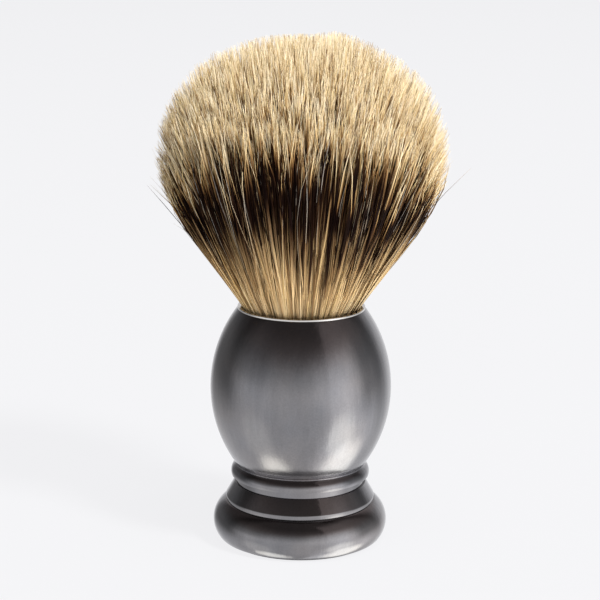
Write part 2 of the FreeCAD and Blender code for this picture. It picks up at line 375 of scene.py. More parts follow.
def add_floor():
    half = FLOOR_HALF
    mesh = bpy.data.meshes.new("floor")
    corners = [(-half, -half, 0), (half, -half, 0), (half, half, 0), (-half, half, 0)]
    mesh.from_pydata(corners, [], [(0, 1, 2, 3)])
    floor = bpy.data.objects.new("floor", mesh)
    scene.collection.objects.link(floor)
    made, tree = material("pale_floor")
    path = tree.node("ShaderNodeLightPath", output="Is Camera Ray")
    clear = path.of("MAXIMUM", path.also("Is Glossy Ray")).of(
        "MAXIMUM", path.also("Is Transmission Ray"))
    glow = tree.node("ShaderNodeEmission", None, {"Color": BACKDROP, "Strength": 1.0})
    paper = tree.node("ShaderNodeBsdfDiffuse", None, {"Color": FLOOR_PAPER})
    surface = tree.node("ShaderNodeMixShader", None,
                        {0: clear * FLOOR_GLOW, 1: paper, 2: glow})
    tree.node("ShaderNodeOutputMaterial", None, {"Surface": surface})
    mesh.materials.append(made)
    floor.visible_glossy = False


def add_lamp(name, azimuth, elevation, size, power):
    data = bpy.data.lights.new(name, "AREA")
    data.shape = "DISK"
    data.size = size
    data.energy = power
    lamp = bpy.data.objects.new(name, data)
    scene.collection.objects.link(lamp)
    away = Vector(toward(azimuth, elevation))
    lamp.location = Vector(LAMP_AIM) + away * LAMP_DISTANCE
    lamp.rotation_mode = "QUATERNION"
    lamp.rotation_quaternion = away.to_track_quat("Z", "Y")
    lamp.visible_camera = False
    lamp.visible_glossy = False


# ---------------------------------------------------------------------------------------------
# Turned pieces
# ---------------------------------------------------------------------------------------------
def levels(node):
    """Lowest level, highest level and widest radius of a CAD node, in millimetres."""
    low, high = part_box(node)
    return low.z / MM, high.z / MM, high.x / MM


def arc_to(start, middle, end, step=ARC_STEP):
    """Points of the arc through three corners, without its start."""
    (ax, ay), (bx, by), (cx, cy) = start, middle, end
    d = 2 * (ax * (by - cy) + bx * (cy - ay) + cx * (ay - by))
    ux = ((ax * ax + ay * ay) * (by - cy) + (bx * bx + by * by) * (cy - ay)
          + (cx * cx + cy * cy) * (ay - by)) / d
    uy = ((ax * ax + ay * ay) * (cx - bx) + (bx * bx + by * by) * (ax - cx)
          + (cx * cx + cy * cy) * (bx - ax)) / d
    radius = math.hypot(ax - ux, ay - uy)
    first = math.atan2(ay - uy, ax - ux)
    turn = math.atan2(cy - uy, cx - ux) - first
    side = (bx - ax) * (cy - ay) - (by - ay) * (cx - ax)
    turn = turn % (2 * math.pi) if side > 0 else -((-turn) % (2 * math.pi))
    count = max(4, math.ceil(abs(turn) * radius / step))
    return [(ux + radius * math.cos(first + turn * i / count),
             uy + radius * math.sin(first + turn * i / count)) for i in range(1, count + 1)]


def profile(start, *steps):
    """Corners of a profile. A step is the next corner, or an arc's (middle, end) corners."""
    corners = [start]
    for step in steps:
        if isinstance(step[0], tuple):
            corners += arc_to(corners[-1], *step)
        else:
            corners.append(step)
    return corners


def rounded(corners, rounds):
    """The profile with some corners, given as {index: radius}, turned into small arcs, none of
    which takes more than 0.45 of a side."""
    made = []
    count = len(corners)
    for index, corner in enumerate(corners):
        if index not in rounds:
            made.append(corner)
            continue
        here = Vector(corner)
        before = Vector(corners[index - 1]) - here
        after = Vector(corners[(index + 1) % count]) - here
        half = before.angle(after) / 2
        cut = min(rounds[index] / math.tan(half), before.length * 0.45, after.length * 0.45)
        radius = cut * math.tan(half)
        start = here + before.normalized() * cut
        end = here + after.normalized() * cut
        toward_centre = (before.normalized() + after.normalized()).normalized()
        middle = here + toward_centre * (radius / math.sin(half) - radius)
        made.append(tuple(start))
        made += arc_to(tuple(start), tuple(middle), tuple(end), step=FINE_STEP)
    return made


def lathe(name, corners, made_of, slot, *nodes):
    """A closed profile of (radius, height) corners turned about the brush's axis."""
    angles = [2 * math.pi * turn / TURNS for turn in range(TURNS)]
    places, rings = [], []
    for r, z in corners:
        first = len(places)
        if r < ON_AXIS:
            places.append((0.0, 0.0, z * MM))
            rings.append([first] * TURNS)
        else:
            places += [(r * MM * math.cos(a), r * MM * math.sin(a), z * MM) for a in angles]
            rings.append(range(first, first + TURNS))
    faces = []
    for ring, after in zip(rings, rings[1:] + rings[:1]):
        for here in range(TURNS):
            there = (here + 1) % TURNS
            face = [ring[here], ring[there], after[there], after[here]]
            face = [v for i, v in enumerate(face) if v != face[i - 1]]
            if len(face) > 2:
                faces.append(face)
    mesh = bpy.data.meshes.new(name)
    mesh.from_pydata(places, [], faces)
    mesh.validate()
    next_corners = corners[1:] + corners[:1]
    area = sum(r * next_z - next_r * z
               for (r, z), (next_r, next_z) in zip(corners, next_corners))
    if area < 0:
        mesh.flip_normals()
    mesh.shade_smooth()
    mesh.set_sharp_from_angle(angle=math.radians(SHARP))
    mesh.materials.append(made_of)
    piece = bpy.data.objects.new(name, mesh)
    scene.collection.objects.link(piece)
    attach(piece, "root")
    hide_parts(*nodes)
    return piece


class Belly:
    """A round profile with its widest point at one level, through an edge at another."""

    def __init__(self, widest, level, edge_radius, edge_level):
        rise = edge_level - level
        drop = widest - edge_radius
        self.level = level
        self.round = (rise * rise + drop * drop) / (2 * drop)
        self.centre = widest - self.round

    def radius(self, level):
        return self.centre + math.sqrt(self.round ** 2 - (level - self.level) ** 2)

    def corner(self, level):
        return (self.radius(level), level)


def spigot_socket(face):
    """Corners of the recess that takes the spigot below, from its rim to the bolt's hole."""
    roof = face + SPIGOT_HEIGHT + SPIGOT_GAP
    wall = SPIGOT_RADIUS + SPIGOT_CLEARANCE
    return [(BOLT_HOLE, roof), (wall, roof), (wall, face)]


def seal_groove(middle, face):
    """Corners of a seal's groove, from its outer wall to its inner one."""
    outer, inner = middle + SEAL_HALF_GROOVE, middle - SEAL_HALF_GROOVE
    return [(outer, face), (outer, face - SEAL_DEPTH), (inner, face - SEAL_DEPTH), (inner, face)]


def build_foot(finish):
    bottom, spigot_top, widest = levels("foot_ring")
    top = spigot_top - SPIGOT_HEIGHT
    _, _, seat = levels("foot_skirt")
    rim = Belly(widest, bottom + FOOT_RIM_HEIGHT, seat, top)
    pocket_top = spigot_top - FOOT_WEB
    plate_top, pad_top = levels("base_plate")[1], levels("base_pad")[1]
    inside = [(BOLT_HOLE, spigot_top), (BOLT_HOLE, pocket_top), (NUT_POCKET, pocket_top),
              (NUT_POCKET, plate_top), (PLATE_RADIUS, plate_top), (PLATE_RADIUS, pad_top),
              (PAD_SEAT_RADIUS, pad_top), (PAD_SEAT_RADIUS, bottom)]
    lower_edge = rim.corner(bottom + EDGE)
    outside = profile((lower_edge[0] - EDGE, bottom), lower_edge,
                      ((widest, rim.level), rim.corner(top)))
    spigot = [*seal_groove(FOOT_SEAL_MIDDLE, top), (SPIGOT_RADIUS, top),
              (SPIGOT_RADIUS, spigot_top)]
    lathe("foot", inside + outside + spigot, finish, "smoked_alloy", "foot_ring")


def build_skirt(finish):
    bottom, spigot_top, low_radius = levels("foot_skirt")
    top = spigot_top - SPIGOT_HEIGHT
    band_top = bottom + SKIRT_BAND
    slope = math.atan2(low_radius - SKIRT_TOP_RADIUS, top - band_top)
    corners = [*spigot_socket(bottom), (low_radius, bottom), (low_radius, band_top),
               (SKIRT_TOP_RADIUS, top), (SPIGOT_RADIUS, top), (SPIGOT_RADIUS, spigot_top),
               (BOLT_HOLE, spigot_top)]
    corner_round = SKIRT_ROUND * (1 + 0.2 * slope)
    rounds = {3: SKIRT_FOOT_ROUND, 4: corner_round, 5: EDGE}
    lathe("skirt", rounded(corners, rounds), finish, "smoked_alloy", "foot_skirt")


def build_bead(finish):
    neck_bottom, collar_top, widest = levels("waist_bead")
    bead_bottom = neck_bottom + NECK_HEIGHT
    bead_top = collar_top - SPIGOT_HEIGHT
    belly_level = bead_bottom + BEAD_BELLY_HEIGHT
    centre = widest - BEAD_ROUND

    def section(level):
        return centre + math.sqrt(BEAD_ROUND ** 2 - (level - belly_level) ** 2)

    upper = (section(bead_top - EDGE), bead_top - EDGE)
    outside = profile((NECK_RADIUS, neck_bottom), (NECK_RADIUS, bead_bottom),
                      (section(bead_bottom), bead_bottom), ((widest, belly_level), upper),
                      (upper[0] - EDGE * 0.3, bead_top - EDGE * 0.3), (upper[0] - EDGE, bead_top))
    collar = [*seal_groove(BULB_SEAL_MIDDLE, bead_top), (COLLAR_RADIUS, bead_top),
              (COLLAR_RADIUS, collar_top), (BOLT_HOLE, collar_top)]
    lathe("bead", spigot_socket(neck_bottom) + outside + collar, finish,
          "smoked_alloy", "waist_bead")


def build_grip(finish):
    bottom, top, widest = levels("grip_bulb")
    belly = Belly(widest, bottom + BULB_BELLY_HEIGHT, MOUTH_RADIUS, top)
    rim = belly.radius(bottom) + BULB_RIM
    high = belly.corner(top - EDGE * 0.6)
    outside = profile((rim - BULB_RIM / 2, bottom),
                      ((rim, bottom + BULB_RIM / 2), (rim - BULB_RIM / 2, bottom + BULB_RIM)),
                      belly.corner(bottom + BULB_RIM * 1.2),
                      ((widest, belly.level), high), (high[0] - EDGE * 0.6, top))
    inside = [(SOCKET_RADIUS, top), (SOCKET_RADIUS, SOCKET_FLOOR), (BOLT_HOLE, SOCKET_FLOOR),
              (BOLT_HOLE, CAVITY_TOP), (CAVITY_RADIUS, CAVITY_TOP), (CAVITY_RADIUS, bottom)]
    lathe("grip", outside + inside, finish, "smoked_alloy", "grip_bulb")


def build_cup(finish):
    bottom, top, lip_radius = levels("knot_ferrule")
    mouth = levels("grip_bulb")[1]
    outer = CUP_INNER_RADIUS + CUP_WALL
    corners = [(0, bottom), (outer, bottom), (outer, mouth), (lip_radius, mouth),
               (lip_radius, top), (CUP_INNER_RADIUS, top), (CUP_INNER_RADIUS, bottom + CUP_WALL),
               (0, bottom + CUP_WALL)]
    rounds = {1: CUP_HEEL_ROUND, 3: LIP_UNDER_ROUND, 4: LIP_OUTER_ROUND, 5: LIP_INNER_ROUND}
    lathe("knot_cup", rounded(corners, rounds), finish, "polished_lip", "knot_ferrule")


def build_pad(finish):
    bottom, top, radius = levels("base_pad")
    corners = [(0, bottom), (radius, bottom), (radius, top), (0, top)]
    rounds = {1: PAD_LOWER_ROUND, 2: PAD_UPPER_ROUND}
    lathe("pad", rounded(corners, rounds), finish, "pad_rubber", "base_pad")


# ---------------------------------------------------------------------------------------------
# Finishes
# ---------------------------------------------------------------------------------------------
# Colours are (red, green, blue) shares of light; shade and wear multiply them.
ALLOY = (0.229, 0.223, 0.228)
ALLOY_WARMTH = (0.03, 0.0, -0.03)        # how the patina's cloud turns it
LIP = (0.66, 0.64, 0.605)
ZINC = (0.6, 0.61, 0.62)
THREAD = (0.56, 0.5, 0.41)
CEMENT = (0.72, 0.7, 0.62)
RESIN = (0.62, 0.52, 0.34)
PAD_GREY, SEAL_GREY = 0.07, 0.03
PAINTED_RIM_LIGHT = (0.9, 1.6)       # millimetres over the bulb's lower end where its painted lighter rim, a stand-in for a brighter reflection, fades out
POLISHED_FADE = 0.2          # millimetres round that level in which the finish changes


def smoked_alloy():
    """Turned alloy, smoked grey under a satin lacquer: a fine grain, the tool's faint rings, a
    cloudy patina,
    and a painted reflection: a lighter rim where the bulb meets the bead."""
    made, tree = material("smoked_alloy")
    place = tree.node("ShaderNodeTexCoord", output="Object")
    grain = tree.noise(place, 2600.0, 2.0, 0.6)
    cloud = tree.noise(place, 90.0, 3.0)
    x, y, z = tree.split(place)
    rings = tree.noise(z, 5200.0, 2.0, 0.7, "1D")
    streaks = tree.noise(tree.vector(x, y, z * 0.12), 420.0, 3.0, 0.6)
    edge = levels("grip_bulb")[0] * MM
    fade_start, fade_end = PAINTED_RIM_LIGHT
    # painted reflection: the bulb's lowest rim is made lighter in colour, in place of the
    # brighter reflection it lacks where it faces the dark bead
    painted_rim_light = (tree.remap(z, edge + fade_end * MM, edge + fade_start * MM)
            * tree.remap(z, edge - 0.02 * MM, edge + 0.02 * MM))
    shade = (1.0 + (grain - 0.5) * 0.24 + (cloud - 0.5) * 0.42 + (streaks - 0.5) * 0.34
             + painted_rim_light * 0.7)
    warm = cloud - 0.5
    colour = tree.vector(*(shade * (warm * turn + share)
                           for share, turn in zip(ALLOY, ALLOY_WARMTH)))
    fade = POLISHED_FADE * MM
    below = tree.remap(z, edge + fade, edge - fade)      # foot, skirt and bead are smoother
    roughness = (0.09 + grain * 0.06 + cloud * 0.1 + rings * 0.02) * (1.0 - below * 0.4)
    waves = tree.bump(0.65, 0.00006, streaks + cloud * 0.8)
    normal = tree.bump(0.05, 0.00004, grain * 0.8 + rings * 0.35, Normal=waves)
    return surfaced(made, tree, Base_Color=colour, Metallic=1.0, Roughness=roughness,
                    Normal=normal)


def polished_lip():
    """Polished metal, very slightly scuffed."""
    made, tree = material("polished_lip")
    place = tree.node("ShaderNodeTexCoord", output="Object")
    wear = tree.noise(place, 700.0, 3.0, 0.6)
    shade = 0.97 + wear * 0.05
    return surfaced(made, tree, Base_Color=tree.vector(*(shade * share for share in LIP)),
                    Metallic=1.0, Roughness=0.1 + wear * 0.1,
                    Normal=tree.bump(0.08, 0.00003, wear))


def sheet_rubber(name, grey):
    """Dull black rubber with a little dust."""
    made, tree = material(name)
    place = tree.node("ShaderNodeTexCoord", output="Object")
    dust = tree.noise(place, 900.0, 4.0, 0.7)
    shade = (0.75 + dust * 0.5) * grey
    return surfaced(made, tree, Base_Color=tree.vector(shade, shade, shade),
                    Roughness=0.62 + dust * 0.2, Normal=tree.bump(0.3, 0.00008, dust))


def zinc_steel():
    """Zinc-plated steel with the rings of its turning."""
    made, tree = material("zinc_steel")
    place = tree.node("ShaderNodeTexCoord", output="Object")
    x, y, z = tree.split(place)
    reach = (x * x + y * y).of("SQRT")
    rings = tree.noise(tree.vector(reach, z, 0.0), 3500.0, 3.0, dimensions="2D")
    bloom = tree.noise(place, 260.0, 4.0, 0.6)
    shade = 0.86 + rings * 0.16 + bloom * 0.12
    return surfaced(made, tree, Base_Color=tree.vector(*(shade * share for share in ZINC)),
                    Metallic=1.0, Roughness=0.24 + bloom * 0.2,
                    Normal=tree.bump(0.15, 0.00004, rings))


def cast_plug(name, colour, roughness):
    """Cast resin or set cement, a little cloudy."""
    made, tree = material(name)
    place = tree.node("ShaderNodeTexCoord", output="Object")
    cloud = tree.noise(place, 420.0, 5.0, 0.65)
    shade = 0.8 + cloud * 0.4
    return surfaced(made, tree, Base_Color=tree.vector(*(shade * share for share in colour)),
                    Roughness=roughness + cloud * 0.12, Normal=tree.bump(0.15, 0.0001, cloud))


def waxed_thread():
    """Plied thread: the plies run round the knot, slightly aslant."""
    made, tree = material("waxed_thread")
    place = tree.node("ShaderNodeTexCoord", output="Object")
    x, y, z = tree.split(place)
    around = y.of("ARCTAN2", x)
    plies = (around * 190.0 + z * 5200.0).of("SINE") * 0.5 + 0.5
    fuzz = tree.noise(place, 2400.0, 3.0, 0.7)
    shade = 0.7 + plies * 0.25 + fuzz * 0.15
    return surfaced(made, tree, Base_Color=tree.vector(*(shade * share for share in THREAD)),
                    Roughness=0.5 + fuzz * 0.2, Normal=tree.bump(0.5, 0.0001, plies + fuzz * 0.4))


# A hair's own map: across it, one of the shades of hair; along it, how far it has got from the
# tan root (0 to TAN_END), through the dark band, to the cream tip (from CREAM_START to 1).
SHADES = 64
DARK_SHADES = 14             # the first shades, brown from the root to near the tip
PALE_SHADES = 13             # the last shades, which have hardly any band
TAN_END = 0.35
CREAM_START = 0.65

# The colours along a hair, from its root to its tip: (how far along its map, colour).
BANDED_HAIR = [
    # painted light: the first stops are paler, to offset the shade that falls on the roots next
    # to the lip
    (0.0, (0.95, 0.74, 0.45)), (0.05, (0.95, 0.74, 0.43)), (0.10, (0.89, 0.67, 0.365)),
    (0.16, (0.82, 0.60, 0.32)), (0.22, (0.66, 0.465, 0.235)), (0.30, (0.26, 0.16, 0.078)),
    (0.37, (0.07, 0.036, 0.016)), (0.44, (0.009, 0.003, 0.002)), (0.62, (0.006, 0.002, 0.001)),
    (0.67, (0.04, 0.017, 0.007)), (0.73, (0.15, 0.075, 0.028)), (0.80, (0.46, 0.295, 0.13)),
    (0.88, (0.86, 0.69, 0.405)), (0.95, (0.89, 0.785, 0.575)), (1.0, (0.74, 0.63, 0.44))]
DARK_HAIR = [
    (0.0, (0.48, 0.33, 0.18)), (0.15, (0.35, 0.22, 0.10)), (0.33, (0.03, 0.013, 0.006)),
    (0.70, (0.008, 0.003, 0.002)), (0.80, (0.03, 0.013, 0.006)), (0.90, (0.15, 0.08, 0.033)),
    (1.0, (0.46, 0.32, 0.16))]
# Pale hairs. The grey of their middle is partly painted sheen, standing in for the bluish
# highlights on the dark band's hairs.
PALE_HAIR_AND_SHEEN = [
    (0.0, (0.66, 0.48, 0.25)), (0.3, (0.40, 0.31, 0.21)), (0.6, (0.30, 0.28, 0.265)),
    (0.75, (0.50, 0.39, 0.25)), (1.0, (0.95, 0.84, 0.62))]


def badger_hair():
    """Hair of many shades, banded along its length. Each shade has its own depth and warmth, and
    its cream begins a little sooner or later."""
    made, tree = material("badger_hair")
    where = tree.node("ShaderNodeUVMap", {"uv_map": "OFBake"})
    across, along, _ = tree.split(where)
    shade = (across * SHADES).of("FLOOR")

    def pick(stride, start):
        """A random number for each shade."""
        return tree.node("ShaderNodeTexWhiteNoise", {"noise_dimensions": "1D"},
                         {"W": shade * stride + start})

    along = along + (pick(3.0, 1.5) - 0.6) * 0.16 * tree.remap(along, 0.55, 0.75)
    banded, dark, pale = (tree.ramp(along, stops)
                          for stops in (BANDED_HAIR, DARK_HAIR, PALE_HAIR_AND_SHEEN))
    last_dark, first_pale = DARK_SHADES - 0.5, SHADES - PALE_SHADES - 0.5
    is_dark = tree.remap(shade, last_dark + 0.1, last_dark - 0.1, smooth=False)
    is_pale = tree.remap(shade, first_pale - 0.1, first_pale + 0.1, smooth=False)
    mixed = tree.blend(is_pale, tree.blend(is_dark, banded, dark), pale)
    dash = tree.noise(tree.vector(shade * 5.3, along * 16.0, 0.0), 1.0, 1.0, dimensions="2D")
    level = (0.725 + pick(1.0, 0.5) * 0.33) * (0.92 + dash * 0.16)
    warmth = pick(7.0, 3.5)
    tint = tree.vector(level ** (0.7 + warmth * 0.2), level ** 1.15,
                       level ** (1.6 + warmth * 0.4))
    colour = tree.node("ShaderNodeMix", {"data_type": "RGBA", "blend_type": "MULTIPLY"},
                       {"Factor": 1.0, "A": mixed, "B": tint}, "Result")
    return surfaced(made, tree, Base_Color=colour, Roughness=0.45, Specular_IOR_Level=0.06)


# ---------------------------------------------------------------------------------------------
# Hair
# ---------------------------------------------------------------------------------------------
HAIR_PIECES = 6
HAIR_COUNTS = {"Hairs": 3740, "Seed": 1, "Segments": 6}
HAIR_SIZES = {
    # Locks over the knot, tufts in a lock, hairs in a tuft. Spreads and wanders are shares of the
    # knot's radius; a grip of 1 gathers what it holds to one place.
    "Hairs in a tuft": 6.0, "Locks": 520.0, "Lock stride": 197.0, "Lock spread": 0.055,
    "Tuft spread": 0.03, "Root grip": 0.25, "Tuft grip": 0.9, "Lock grip": 0.2,
    "Tuft wander": 0.055, "Hair wander": 0.009, "Loose share": 0.25, "Loose wander": 0.15,
    # Roots: a disc in the cup's mouth. A lean is the slope at the disc's rim.
    "Mouth radius": 12.25 * MM, "Mouth level": 50.2 * MM, "Root drop": 1.4 * MM,
    "Side lean": 0.69, "Front lean": 0.42, "Lean length": 9.0 * MM, "Bend draw": 0.95,
    # The fan's outside: a dome over its widest level, and a heel under it
    "Half width": 30.3 * MM, "Half depth": 21.6 * MM, "Widest level": 80.6 * MM,
    "Crown level": 106.4 * MM, "Heel level": 74.5 * MM, "Heel share": 0.92, "Heel pull": 0.055,
    "Front lift": 0.4, "Squareness": 2.3, "Shoulder lift": 0.9 * MM,
    # How far hairs end short of it, at most
    "Uneven hairs": 4.5 * MM, "Uneven tufts": 7.0 * MM, "Uneven locks": 1.5 * MM,
    # Stray tips and bends
    "Stray": 0.3 * MM, "Wild share": 0.05, "Wild stray": 4.5 * MM, "Hair bend": 1.3 * MM,
    "Tuft bend": 3.0 * MM, "Lock bend": 1.6 * MM, "Hair tip bend": 1.0 * MM,
    "Tuft tip bend": 2.2 * MM, "Loose bend": 1.8,
    "Hair radius": 0.15 * MM,
    # Lengths of the tan root and the cream tip, and what lengthens or shortens them
    "Tan length": 18.3 * MM, "Ragged tan": 9.0 * MM, "Cream length": 8.4 * MM,
    "Ragged cream": 13.2 * MM, "Ragged locks": 3.5 * MM, "Band patches": 5.0 * MM,
    "Band droop": 6.5 * MM, "Band rise": 2.5 * MM, "Crown cream": 12.0 * MM,
}

# Fades over the fan, which goes from -1 on its left to 1 on its right: where 0 and where 1.
SHOULDER = ((0.05, 0.18), (0.38, 0.22))  # the crown's raised shoulder
RIGHT_DROOP = (0.22, 0.5)                # the band hangs lower at both sides
LEFT_DROOP = (-0.35, -0.6)
LEFT_DROOP_SHARE = 0.7
RISE = (0.34, 0.14)                      # and stands higher round RISE_MIDDLE
RISE_MIDDLE = -0.26
CALM_SIDES = (0.3, 0.6)                  # its edge is less ragged at the sides
CALMER = 0.3
CROWN = (0.8, 0.3)                       # the cream is longer towards the fan's axis
DOME_CURVE = 2.5             # the more, the flatter the dome is round its crown
OWN_SHADE = (0.62, 0.64)     # a random number over this gives a hair a shade of its own
STEP_WIDTH = 0.02            # of a step, as a share of the number at which it lies
# A hair's thickness from its root to its tip, with its last ring drawn in to a point
TAPER = ((0.0, 0.65), (0.66, 1.0), (0.8334, 0.86), (1.0, 0.17))
WILD_THINNER = 0.45          # how much thinner these hairs are, as a share
PALE_THINNER = 0.35
SHORTEST_CREAM = 2.0 * MM
# What stays free of the map, at both sides of a shade's strip and at both its ends
SIDE_MARGIN = 0.2
END_MARGIN = 0.002


class HairTree(Tree):
    """The node tree that grows the knot: hairs from the cup's mouth to the fan's outside.

    A hair belongs to a tuft of a few hairs, and a tuft to one of the locks. Every random choice
    is made for a hair, a tuft or a lock, and has a number of its own.
    """

    def __init__(self, sizes, counts):
        group = bpy.data.node_groups.new("grow_hair", "GeometryNodeTree")
        super().__init__(group)
        group.interface.new_socket("Geometry", in_out="OUTPUT", socket_type="NodeSocketGeometry")
        for name in counts:
            group.interface.new_socket(name, in_out="INPUT", socket_type="NodeSocketInt")
        for name in sizes:
            group.interface.new_socket(name, in_out="INPUT", socket_type="NodeSocketFloat")
        group.interface.new_socket("Hair", in_out="INPUT", socket_type="NodeSocketMaterial")
        self.inputs = group.nodes.new("NodeGroupInput")
        self.hair = self.node("GeometryNodeInputIndex")
        self.tuft = (self.hair / self.given("Hairs in a tuft")).of("FLOOR")
        self.lock = (self.tuft * self.given("Lock stride")).of("MODULO", self.given("Locks"))

    def given(self, name):
        return Value(self, self.inputs.outputs[name])

    def named(self, name, kind="FLOAT"):
        return self.node("GeometryNodeInputNamedAttribute", {"data_type": kind}, {"Name": name})

    def store(self, geometry, name, value, kind="FLOAT_VECTOR", domain="POINT"):
        return self.node("GeometryNodeStoreNamedAttribute", {"data_type": kind, "domain": domain},
                         {"Geometry": geometry, "Name": name, "Value": value})

    def pick(self, factor, first, second):
        """first where factor is 0, second where it is 1, for vectors."""
        return first + (second - first) * factor

    def chance(self, label, number, low=0.0, high=1.0):
        """A random number for each label. All pieces of the knot share those of the locks."""
        if label is not self.lock:
            number = self.given("Seed") + number
        return self.node("FunctionNodeRandomValue", {"data_type": "FLOAT"},
                         {"Min": low, "Max": high, "ID": label, "Seed": number})

    def either_way(self, label, number):
        """The same, from -1 to 1."""
        return self.chance(label, number, -1.0, 1.0)

    def ragged(self, number, tuft_share):
        """From -1 to 1 for each hair, partly its own choice and partly its tuft's."""
        return (self.either_way(self.hair, number) * (1.0 - tuft_share)
                + self.either_way(self.tuft, number + 1) * tuft_share)

    def scatter(self, label, number, spread):
        """A place in a disc of this radius."""
        way = self.chance(label, number, 0.0, 2 * math.pi)
        far = self.chance(label, number + 1).of("SQRT") * spread
        return self.vector(far * way.of("COSINE"), far * way.of("SINE"), 0.0)

    def sway(self, label, number, size):
        """A shift sideways of up to this size."""
        return self.vector(self.either_way(label, number) * size,
                           self.either_way(label, number + 1) * size, 0.0)

    def is_under(self, number, limit):
        """1 where the number is under the limit, and 0 where it is over."""
        return self.remap(number, limit, limit * (1.0 - STEP_WIDTH), smooth=False)

    def inside(self, place):
        """The place, brought in where it lies outside the knot's radius of 1."""
        length = place.of("LENGTH").also("Value")
        return place * (1.0 / length.of("MAXIMUM", 1.0))

    def places(self):
        """Each hair's root and tip in the knot, and whether it is a loose one."""
        given = self.given
        # The locks are spread evenly, like the seeds of a sunflower.
        turn = self.lock * (math.pi * (3 - math.sqrt(5)))
        reach = ((self.lock + 0.5) / given("Locks")).of("SQRT")
        lock = self.vector(reach * turn.of("COSINE"), reach * turn.of("SINE"), 0.0)
        tuft = lock + self.scatter(self.tuft, 1, given("Lock spread"))
        hair = tuft + self.scatter(self.hair, 3, given("Tuft spread"))
        held = self.pick(given("Lock grip"), self.pick(given("Tuft grip"), hair, tuft), lock)
        loose = self.is_under(self.chance(self.hair, 9), given("Loose share"))
        wander = given("Hair wander") + loose * given("Loose wander")
        tip = self.inside(held + self.scatter(self.tuft, 5, given("Tuft wander"))
                          + self.scatter(self.hair, 7, wander))
        return self.inside(self.pick(given("Root grip"), hair, lock)), tip, loose

    def fan_outside(self, place, far):
        """Tips: over the dome, and the outermost ones down the heel on both broad sides."""
        given = self.given
        x, y, _ = self.split(place)
        across, deep = x / far, y / far
        edge = given("Heel share")
        on_dome = (far / edge).of("MINIMUM", 1.0)
        on_heel = ((far - edge) / (1.0 - edge)).of("MAXIMUM", 0.0)
        side = (across * across) ** 3.0
        lowest = given("Front lift") * (1.0 - side)
        dome_height = 1.0 - on_dome ** DOME_CURVE * (1.0 - lowest)
        square = given("Squareness")
        dome_reach = (1.0 - dome_height ** square).of("MAXIMUM", 0.0) ** (1.0 / square)
        reach = dome_reach * (1.0 - on_heel * on_heel * given("Heel pull"))
        above = given("Crown level") - given("Widest level")
        heel_depth = (given("Widest level") - given("Heel level")) * side
        shoulder = self.remap(x, *SHOULDER[0]) * self.remap(x, *SHOULDER[1])
        level = (given("Widest level") + above * dome_height - heel_depth * on_heel
                 + given("Shoulder lift") * shoulder)
        return self.vector(across * reach * given("Half width"),
                           deep * reach * given("Half depth"), level)

    def shortfall(self, far):
        """How far each hair ends short of the outside: most of them only just."""
        given = self.given
        return (given("Uneven hairs") * self.chance(self.hair, 11) ** 3.0
                + given("Uneven tufts") * self.chance(self.tuft, 12) ** 3.0 * far
                + given("Uneven locks") * self.chance(self.lock, 61) ** 2.0 * far)

    def shades(self):
        """Each hair's shade, most often its tuft's, and whether it is one of the pale ones."""
        own = self.chance(self.hair, 52)
        first_pale = 1.0 - PALE_SHADES / SHADES
        tuft = self.chance(self.tuft, 58, high=first_pale)
        shade = tuft + (own - tuft) * self.remap(self.chance(self.hair, 57), *OWN_SHADE,
                                                 smooth=False)
        return shade, self.remap(shade, first_pale, first_pale + 0.001, smooth=False)

    def tan_length(self):
        """How far each hair stays tan from its root."""
        given = self.given
        return (given("Tan length") + given("Root drop")
                + self.ragged(53, 0.6) * given("Ragged tan")
                + self.either_way(self.lock, 62) * given("Ragged locks"))

    def cream_length(self, place, far):
        """How far each hair is cream from its tip."""
        given = self.given
        x = self.split(place)[0]
        patches = self.noise(place + self.vector(3.0, 0.0, 0.0), scale=2.2, detail=1.0)
        calm = self.remap(x.of("ABSOLUTE"), *CALM_SIDES)
        droop = self.remap(x, *RIGHT_DROOP) + self.remap(x, *LEFT_DROOP) * LEFT_DROOP_SHARE
        rise = self.remap((x - RISE_MIDDLE).of("ABSOLUTE"), *RISE)
        length = (given("Cream length")
                  + self.ragged(55, 0.65) * given("Ragged cream") * (1.0 - calm * CALMER)
                  + self.either_way(self.lock, 63) * given("Ragged locks")
                  + (patches - 0.5) * given("Band patches") + droop * given("Band droop")
                  - rise * given("Band rise") + self.remap(far, *CROWN) * given("Crown cream"))
        return length.of("MAXIMUM", SHORTEST_CREAM)

    def settle(self):
        """A point for each hair, with all that shapes and colours it."""
        given = self.given
        root_place, tip_place, loose = self.places()
        far = tip_place.of("LENGTH").also("Value").of("MAXIMUM", 0.0001)

        x, y, _ = self.split(root_place)
        mouth = self.vector(x * given("Mouth radius"), y * given("Mouth radius"),
                            given("Mouth level"))
        lean = self.vector(x * given("Side lean"), y * given("Front lean"), 1.0)
        tip = self.fan_outside(tip_place, far)
        way = tip - mouth
        length = way.of("LENGTH").also("Value")
        short = self.shortfall(far)
        tip = tip - way * (short / length)

        edge, wild = given("Heel share"), given("Wild share")
        is_wild = (self.remap(self.chance(self.hair, 31), 1.0 - wild,
                              1.0 - wild * (1.0 - STEP_WIDTH), smooth=False)
                   * self.remap(far, edge - 0.05, edge))
        tip = (tip + self.sway(self.hair, 21, given("Stray"))
               + self.sway(self.hair, 33, given("Wild stray")) * is_wild)

